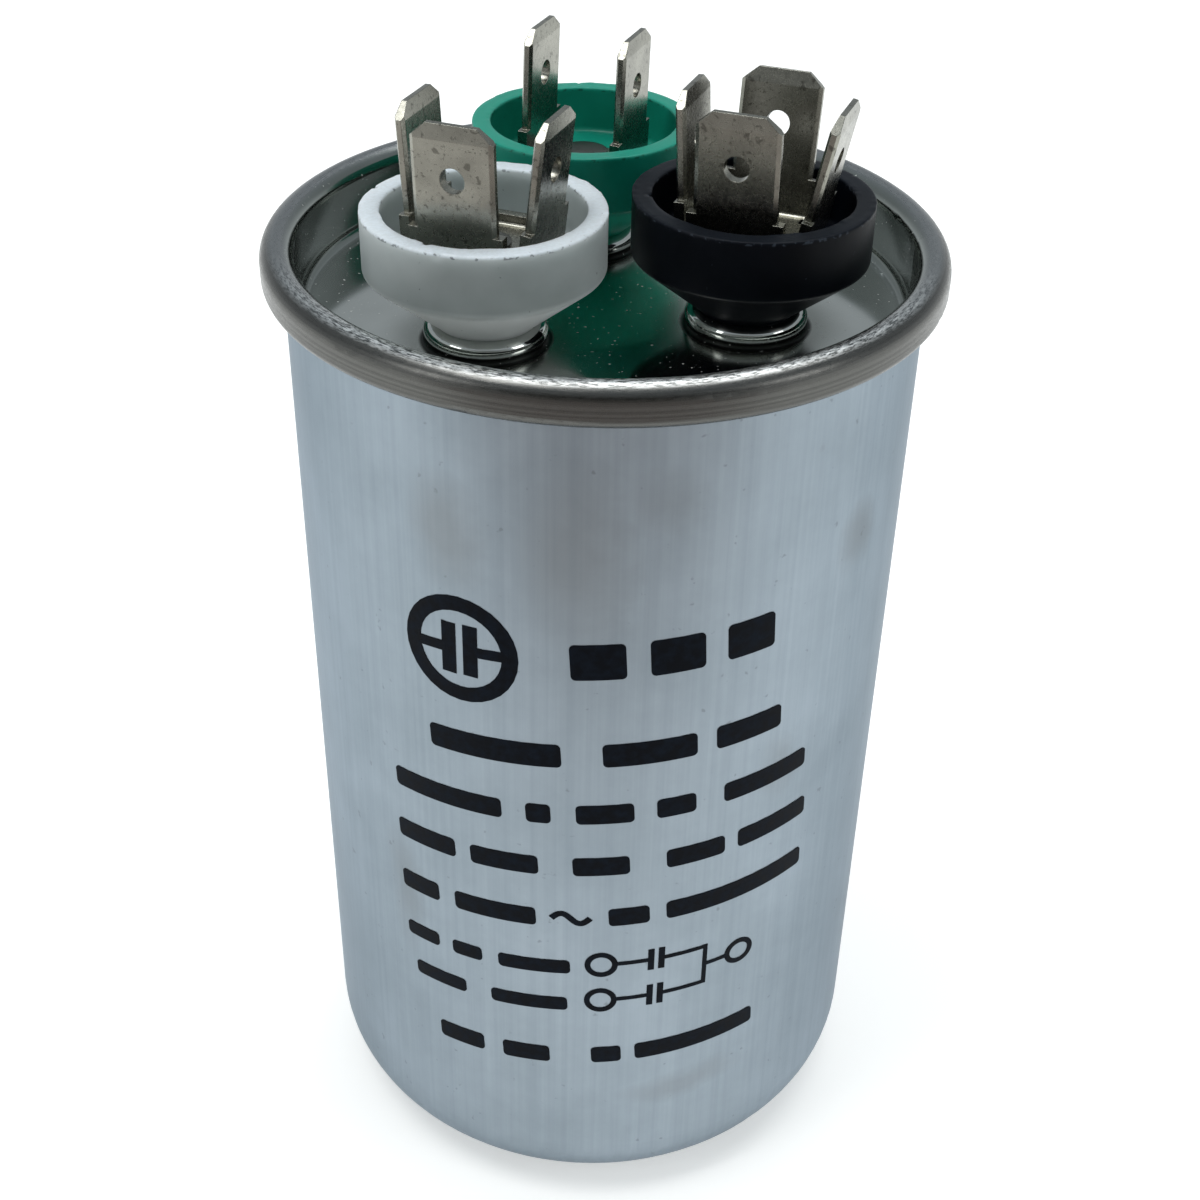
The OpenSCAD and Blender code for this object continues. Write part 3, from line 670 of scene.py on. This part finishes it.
# %% Material of the cups
for name, slot, dark, pale, clean, broken_and_lit, dirt, rough, shine, depth, reach in PLASTICS:
    # Moulded plastic: soft gloss over one pigment, faint grain, pale torn edges partly as painted highlight,
    # and a paler underside as painted light
    plastic, tree = new_material("moulded_" + slot)
    spot = add(tree, "TexCoord").outputs["Object"]
    height = add(tree, "SeparateXYZ", {}, {"Vector": spot}).outputs["Z"]
    flow = add(tree, "TexNoise", {"Scale": 1 / (FLOW_SIZE * MM), "Detail": 3.0}, {"Vector": spot})
    grain = add(tree, "TexNoise", {"Scale": 1 / (GRAIN * MM), "Detail": 2.0}, {"Vector": spot})
    nicks = add(tree, "TexNoise", {"Scale": 1 / (NICK_SIZE * MM), "Detail": 2.0}, {"Vector": spot})
    body = add(tree, "ValToRGB", {"stops": [(0.35, dark), (0.65, pale)]}, {"Fac": flow.outputs["Fac"]})
    # Painted light: the underside below the wall takes a paler shade
    underside_range = {"From Min": LIT_BELOW * MM, "From Max": PLAIN_ABOVE * MM, "To Min": 1.0, "To Max": 0.0}
    under = add(tree, "MapRange", underside_range, {"Value": height})
    lit_underside = add(
        tree, "MixRGB", {"Color2": linear(clean)},
        {"Fac": under.outputs[0], "Color1": body.outputs[0]},
    )

    # Torn edges at the top of the rim, paler partly as a painted highlight from above
    rim_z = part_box(name)[1].z
    pale_range = {"From Min": rim_z - RIM_PALE * MM, "From Max": rim_z + RIM_ABOVE * MM}
    top = add(tree, "MapRange", pale_range, {"Value": height})
    fray_range = {"From Min": NOISE_LOW, "From Max": NOISE_HIGH, "To Min": 0.75, "To Max": 1.0}
    frayed = add(tree, "MapRange", fray_range, {"Value": grain.outputs["Fac"]})
    torn_and_lit = add(tree, "Math", {"operation": "MULTIPLY"}, {0: top.outputs[0], 1: frayed.outputs[0]})
    rim = add(tree, "MixRGB", {"Color2": linear(broken_and_lit)}, {"Fac": torn_and_lit.outputs[0], "Color1": lit_underside.outputs[0]})

    # Dirt gathers in the nicks just below the rim's edge, with a few specks elsewhere
    off_edge = add(tree, "Math", {"operation": "SUBTRACT", 1: rim_z - DIRT_LINE * MM}, {0: height})
    from_edge = add(tree, "Math", {"operation": "ABSOLUTE"}, {0: off_edge.outputs[0]})
    edge_range = {"From Min": DIRT_CORE * MM, "From Max": DIRT_EDGE * MM, "To Min": 1.0, "To Max": 0.0}
    near_edge = add(tree, "MapRange", edge_range, {"Value": from_edge.outputs[0]})
    nick_range = {"From Min": 0.56, "From Max": 0.63, "To Min": 0.0, "To Max": 0.75}
    in_nick = add(tree, "MapRange", nick_range, {"Value": nicks.outputs["Fac"]})
    edge_dirt = add(tree, "Math", {"operation": "MULTIPLY"}, {0: near_edge.outputs[0], 1: in_nick.outputs[0]})
    speck_range = {"From Min": 0.745, "From Max": 0.77, "To Min": 0.0, "To Max": 0.6}
    speck = add(tree, "MapRange", speck_range, {"Value": nicks.outputs["Fac"]})
    dirty = add(tree, "Math", {"operation": "MAXIMUM"}, {0: edge_dirt.outputs[0], 1: speck.outputs[0]})
    used = add(tree, "MixRGB", {"Color2": linear(dirt)}, {"Fac": dirty.outputs[0], "Color1": rim.outputs[0]})

    soft_range = {"From Min": NOISE_LOW, "From Max": NOISE_HIGH}
    soft_range |= {"To Min": rough - SMOOTHER, "To Max": rough + ROUGHER}
    soft = add(tree, "MapRange", soft_range, {"Value": flow.outputs["Fac"]})
    relief = add(tree, "Bump", {"Strength": 0.15, "Distance": 0.02 * MM}, {"Height": grain.outputs["Fac"]})
    settings = {"IOR": 1.5, "Specular IOR Level": shine, "Subsurface Weight": depth}
    settings |= {"Subsurface Scale": reach * MM, "Subsurface Radius": (1.0, 1.0, 1.0)}
    skin = add(
        tree, "BsdfPrincipled", settings,
        {"Base Color": used.outputs[0], "Roughness": soft.outputs[0], "Normal": relief.outputs[0]},
    )
    add(tree, "OutputMaterial", {}, {"Surface": skin.outputs[0]})
    cup = bpy.data.objects[name + "_moulded"]
    cup.data.materials.append(plastic)
    print(cup.name, "in", plastic.name)

# %% [markdown]
# ## Tinned brass and steel
#
# The terminals are stamped from brass strip and tinned. Hot tin gives a greyish, soft mirror with slight
# ripples, and dark pinholes and rub marks show where it is thin. A punch rounds the edge that it enters, so
# every edge catches a thin line of light. The solids hold the bevels of tips and sides. What is still sharp
# could be rounded by a bevel modifier, but the strip's narrow steps leave it no room, so a bevel node rounds
# the light there instead. The rivets are tinned steel, a little darker.

# %% Materials of the tabs and rivets
PINHOLE = 0.35
SCRATCH = 0.7
RIPPLE = 2.2
PUNCH_ROUND = 0.07
PUNCH_RAYS = 6

# Each finish: name, nodes, its two shades, lowest and highest roughness
TINNED = [
    ("tinned_brass", ("common_terminal", "compressor_terminal", "fan_terminal"),
     "#89887f", "#9a998f", 0.20, 0.31),
    ("tinned_steel", ("common_rivet", "compressor_rivet", "fan_rivet"),
     "#5f5e58", "#6f6e68", 0.16, 0.26),
]
for finish, pieces, dark, pale, least, most in TINNED:
    # Tinned metal: a soft grey mirror with dark pinholes
    tinned, tree = new_material(finish)
    spot = add(tree, "TexCoord").outputs["Object"]
    ripple = add(tree, "TexNoise", {"Scale": 1 / (RIPPLE * MM), "Detail": 3.0}, {"Vector": spot})
    pitting = {"Scale": 1 / (PINHOLE * MM), "Detail": 3.0, "Roughness": 0.65}
    holes = add(tree, "TexNoise", pitting, {"Vector": spot})
    scratching = {"Scale": 1 / (SCRATCH * MM), "Detail": 2.0, "Distortion": 0.5}
    scratches = add(tree, "TexNoise", scratching, {"Vector": spot})
    tin = add(tree, "ValToRGB", {"stops": [(0.35, dark), (0.65, pale)]}, {"Fac": ripple.outputs["Fac"]})
    pit_range = {"From Min": 0.60, "From Max": 0.70, "To Min": 0.0, "To Max": 0.65}
    pits = add(tree, "MapRange", pit_range, {"Value": holes.outputs["Fac"]})
    cut_range = {"From Min": 0.64, "From Max": 0.69, "To Min": 0.0, "To Max": 0.55}
    cuts = add(tree, "MapRange", cut_range, {"Value": scratches.outputs["Fac"]})
    marks = add(tree, "Math", {"operation": "MAXIMUM"}, {0: pits.outputs[0], 1: cuts.outputs[0]})
    colour = add(
        tree, "MixRGB", {"Color2": linear("#3f3d37")},
        {"Fac": marks.outputs[0], "Color1": tin.outputs[0]},
    )
    soft_range = {"From Min": NOISE_LOW, "From Max": NOISE_HIGH, "To Min": least, "To Max": most}
    soft = add(tree, "MapRange", soft_range, {"Value": holes.outputs["Fac"]})
    rounded = add(tree, "Bevel", {"samples": PUNCH_RAYS, "Radius": PUNCH_ROUND * MM})
    relief_links = {"Height": ripple.outputs["Fac"], "Normal": rounded.outputs[0]}
    relief = add(tree, "Bump", {"Strength": 0.2, "Distance": 0.03 * MM}, relief_links)
    skin = add(
        tree, "BsdfPrincipled", {"Metallic": 1.0},
        {"Base Color": colour.outputs[0], "Roughness": soft.outputs[0], "Normal": relief.outputs[0]},
    )
    add(tree, "OutputMaterial", {}, {"Surface": skin.outputs[0]})
    for piece in pieces:
        nodes[piece].data.materials[0] = tinned
    print(finish, "on", len(pieces), "pieces")

# %% [markdown]
# ## Print
#
# The can carries rows of dark ink, which climb a little to the right, as if it sat askew under the pad.
# The rows are plain bars, with a wave sign and the common circuit sign of two capacitors that share one
# terminal. Ink could be painted by a material, but then its edges would need a mask for each shape.
# Thin ribbons bent round the can are simple.

# %% Shapes of ink
ROW_CLIMB = sin(radians(3.5))
INK_STEP = 0.45
INK_CORNER = 0.4
CORNER_STEPS = 6
RING_STEPS = 32
WAVE_STEPS = 28


def ink_bar(start, end, height, thick):
    """Path and half widths of a bar with eased corners, from one arc to another, at a height at the front."""
    ends = [INK_CORNER * (1 - cos(pi / 2 * i / CORNER_STEPS)) for i in range(CORNER_STEPS + 1)]
    straight = end - start - 2 * INK_CORNER
    count = max(2, int(straight / INK_STEP))
    places = [start + e for e in ends]
    places += [start + INK_CORNER + straight * i / count for i in range(1, count)]
    places += [end - e for e in reversed(ends)]
    bites = [max(0.0, INK_CORNER - min(p - start, end - p)) for p in places]
    widths = [thick / 2 - INK_CORNER + sqrt(INK_CORNER ** 2 - bite ** 2) for bite in bites]
    return [(p, height + p * ROW_CLIMB) for p in places], widths, False


def ink_line(points, thick):
    """Path and half widths of a straight-edged line through a few points, climbing with the rows."""
    path = []
    for (a0, z0), (a1, z1) in zip(points, points[1:]):
        count = max(1, int(hypot(a1 - a0, z1 - z0) / INK_STEP))
        path += [(a0 + (a1 - a0) * i / count, z0 + (z1 - z0) * i / count) for i in range(count)]
    path.append(points[-1])
    return [(p, z + p * ROW_CLIMB) for p, z in path], [thick / 2] * len(path), False


def ink_ring(arc, height, radius, thick):
    """Path and half widths of a ring, which stays round and climbs with its middle."""
    turns = [2 * pi * i / RING_STEPS for i in range(RING_STEPS)]
    path = [(arc + radius * cos(t), height + radius * sin(t) + arc * ROW_CLIMB) for t in turns]
    return path, [thick / 2] * RING_STEPS, True


def ink_wave(start, end, height, tall, thick):
    """Path and half widths of one full wave."""
    steps = [i / WAVE_STEPS for i in range(WAVE_STEPS + 1)]
    path = [(start + (end - start) * s, height + tall * sin(2 * pi * s)) for s in steps]
    return [(p, z + p * ROW_CLIMB) for p, z in path], [thick / 2] * len(path), False


print("rows climb", round(ROW_CLIMB, 3), "mm for each mm")

# %% Layout of the print
# Rows of bars: height at the front, thickness, and the arcs where each bar starts and ends
ROWS = [
    (61.6, 3.2, [(-2.0, 2.2), (4.0, 8.2), (10.0, 14.0)]),
    (52.7, 2.2, [(-13.5, -2.6), (0.6, 8.0), (9.6, 15.4)]),
    (46.8, 1.9, [(-17.4, -7.4), (-5.4, -3.4), (-1.4, 3.2), (5.0, 8.2), (10.6, 18.6)]),
    (41.3, 1.9, [(-17.4, -11.6), (-10.2, -4.4), (-1.6, 3.0), (6.0, 11.0), (12.2, 19.2)]),
    (35.6, 1.9, [(-17.3, -13.4), (-11.8, -4.6), (1.4, 4.8), (6.2, 19.3)]),
    (30.0, 1.5, [(-17.0, -13.6), (-12.2, -9.4), (-7.9, -1.7)]),
    (25.6, 1.5, [(-16.2, -11.0), (-8.6, -1.9)]),
    (19.2, 1.9, [(-13.8, -9.4), (-7.6, -3.4), (0.2, 2.8), (4.0, 15.2)]),
]
shapes = [ink_bar(a, b, z, thick) for z, thick, arcs in ROWS for a, b in arcs]
shapes.append(ink_wave(-3.3, -0.1, 35.6, 0.55, 0.55))

# Circuit sign: two terminals, each with a capacitor, joined to a third
UPPER_Z = 30.2
LOWER_Z = 26.0
JOINED_Z = (UPPER_Z + LOWER_Z) / 2
JOINED_X = 9.9
WIRE = 0.4
EYE_R = 1.15
EYE_INK = 0.5
PLATE_HALF = 1.2
PLATE_INK = 0.55
eyes = [(0.9, UPPER_Z), (0.9, LOWER_Z), (13.2, JOINED_Z)]
shapes += [ink_ring(p, z, EYE_R, EYE_INK) for p, z in eyes]
for z in (UPPER_Z, LOWER_Z):
    shapes += [ink_line([(2.1, z), (4.9, z)], WIRE), ink_line([(6.2, z), (JOINED_X, z)], WIRE)]
    shapes += [ink_line([(p, z - PLATE_HALF), (p, z + PLATE_HALF)], PLATE_INK) for p in (5.1, 6.0)]
shapes.append(ink_line([(JOINED_X, LOWER_Z - WIRE / 2), (JOINED_X, UPPER_Z + WIRE / 2)], WIRE))
shapes.append(ink_line([(JOINED_X, JOINED_Z), (12.0, JOINED_Z)], WIRE))

# A large ring with a capacitor sign stands at the upper left
SIGN_Z = 61.6
SIGN_R = 4.1
SIGN_HALF = 2.3
RING_INK = 1.3
BAR_INK = 1.2
LEAD_INK = 0.9
shapes.append(ink_ring(-10.6, SIGN_Z, SIGN_R, RING_INK))
shapes += [ink_line([(p, SIGN_Z - SIGN_HALF), (p, SIGN_Z + SIGN_HALF)], BAR_INK) for p in (-11.5, -9.7)]
shapes += [ink_line([(a, SIGN_Z), (b, SIGN_Z)], LEAD_INK) for a, b in ((-14.6, -11.8), (-9.4, -6.6))]
print("print:", len(shapes), "shapes")

# %% Ribbons of ink
INK_UNDER = 25.006
INK_TOP = 25.03

mesh = bmesh.new()
for path, widths, closed in shapes:
    count = len(path)
    sections = []
    for i, ((p, z), half) in enumerate(zip(path, widths)):
        before = path[i - 1] if closed or i else path[0]
        after = path[(i + 1) % count] if closed or i < count - 1 else path[-1]
        along = Vector((after[0] - before[0], after[1] - before[1])).normalized()
        across = Vector((-along.y, along.x)) * half
        edges = [(p + across.x, z + across.y), (p - across.x, z - across.y)]
        sections.append([mesh.verts.new(on_can(a, h, r)) for r in (INK_UNDER, INK_TOP) for a, h in edges])
    last = count if closed else count - 1
    for i in range(last):
        here = sections[i]
        there = sections[(i + 1) % count]
        for a, b in ((0, 1), (1, 3), (3, 2), (2, 0)):
            mesh.faces.new((here[a], here[b], there[b], there[a]))
    if not closed:
        for end in (sections[0], sections[-1]):
            mesh.faces.new((end[0], end[1], end[3], end[2]))
bmesh.ops.recalc_face_normals(mesh, faces=mesh.faces)
data = bpy.data.meshes.new("can_print")
mesh.to_mesh(data)
mesh.free()
can_print = bpy.data.objects.new("can_print", data)
scene.collection.objects.link(can_print)
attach(can_print, "root")
print("print:", len(data.polygons), "faces")

# %% Material of the ink
INK_PATCH = 0.8

# Pad-printed ink: nearly black with a blue cast, dull, and thinner in patches
ink, tree = new_material("pad_printed_ink")
spot = add(tree, "TexCoord").outputs["Object"]
thin = add(tree, "TexNoise", {"Scale": 1 / (INK_PATCH * MM), "Detail": 3.0}, {"Vector": spot})
tone = add(tree, "ValToRGB", {"stops": [(0.4, "#060a12"), (0.75, "#131b26")]}, {"Fac": thin.outputs["Fac"]})
matt_range = {"From Min": NOISE_LOW, "From Max": NOISE_HIGH, "To Min": 0.45, "To Max": 0.6}
matt = add(tree, "MapRange", matt_range, {"Value": thin.outputs["Fac"]})
ink_links = {"Base Color": tone.outputs[0], "Roughness": matt.outputs[0]}
skin = add(tree, "BsdfPrincipled", {"IOR": 1.5, "Specular IOR Level": 0.06}, ink_links)
add(tree, "OutputMaterial", {}, {"Surface": skin.outputs[0]})
data.materials.append(ink)
print("print in", ink.name)

# %% [markdown]
# ## Inside the can
#
# Nothing here shows while the can is closed, but each piece still gets the finish of its real material, so
# that a cut or an exploded view looks right. They differ only in shades, roughness and the size of their
# pattern, so one loop makes them all.

# %% Materials of the inner pieces
GLOSS_SPREAD = 0.06

# Each finish: name, nodes, its two shades, pattern size in mm, roughness, metallic. Rubber and board look
# matt, copper and the film rolls shine softly, bare plastic looks waxy, and the wrap is a glossy amber.
INNER = [
    ("sealing_rubber", ("seam_gasket",), "#1d1d1d", "#2c2c2b", 0.6, 0.70, 0.0),
    ("pressed_insulating_board", ("lid_insulator",), "#b79c6c", "#cbb384", 0.8, 0.75, 0.0),
    ("soldered_copper_wire", ("common_lead", "compressor_lead", "fan_lead"),
     "#b06f4a", "#c98a62", 1.5, 0.30, 1.0),
    ("metallised_film_roll", ("compressor_winding", "fan_winding"), "#a9a89f", "#c0bfb6", 0.5, 0.35, 0.6),
    ("natural_polypropylene", ("compressor_core", "fan_core", "base_insulator"),
     "#dcd8ca", "#ebe7da", 3.0, 0.45, 0.0),
    ("wrapping_film", ("winding_wrap",), "#c9b67f", "#d8c795", 4.0, 0.30, 0.0),
]
for finish, pieces, dark, pale, size, rough, metallic in INNER:
    inner, tree = new_material(finish)
    spot = add(tree, "TexCoord").outputs["Object"]
    pattern = add(tree, "TexNoise", {"Scale": 1 / (size * MM), "Detail": 3.0}, {"Vector": spot})
    tone = add(tree, "ValToRGB", {"stops": [(0.35, dark), (0.65, pale)]}, {"Fac": pattern.outputs["Fac"]})
    soft_range = {"From Min": NOISE_LOW, "From Max": NOISE_HIGH}
    soft_range |= {"To Min": rough - GLOSS_SPREAD, "To Max": rough + GLOSS_SPREAD}
    soft = add(tree, "MapRange", soft_range, {"Value": pattern.outputs["Fac"]})
    inner_links = {"Base Color": tone.outputs[0], "Roughness": soft.outputs[0]}
    skin = add(tree, "BsdfPrincipled", {"Metallic": metallic}, inner_links)
    add(tree, "OutputMaterial", {}, {"Surface": skin.outputs[0]})
    for piece in pieces:
        nodes[piece].data.materials[0] = inner
    print(finish, "on", ", ".join(pieces))
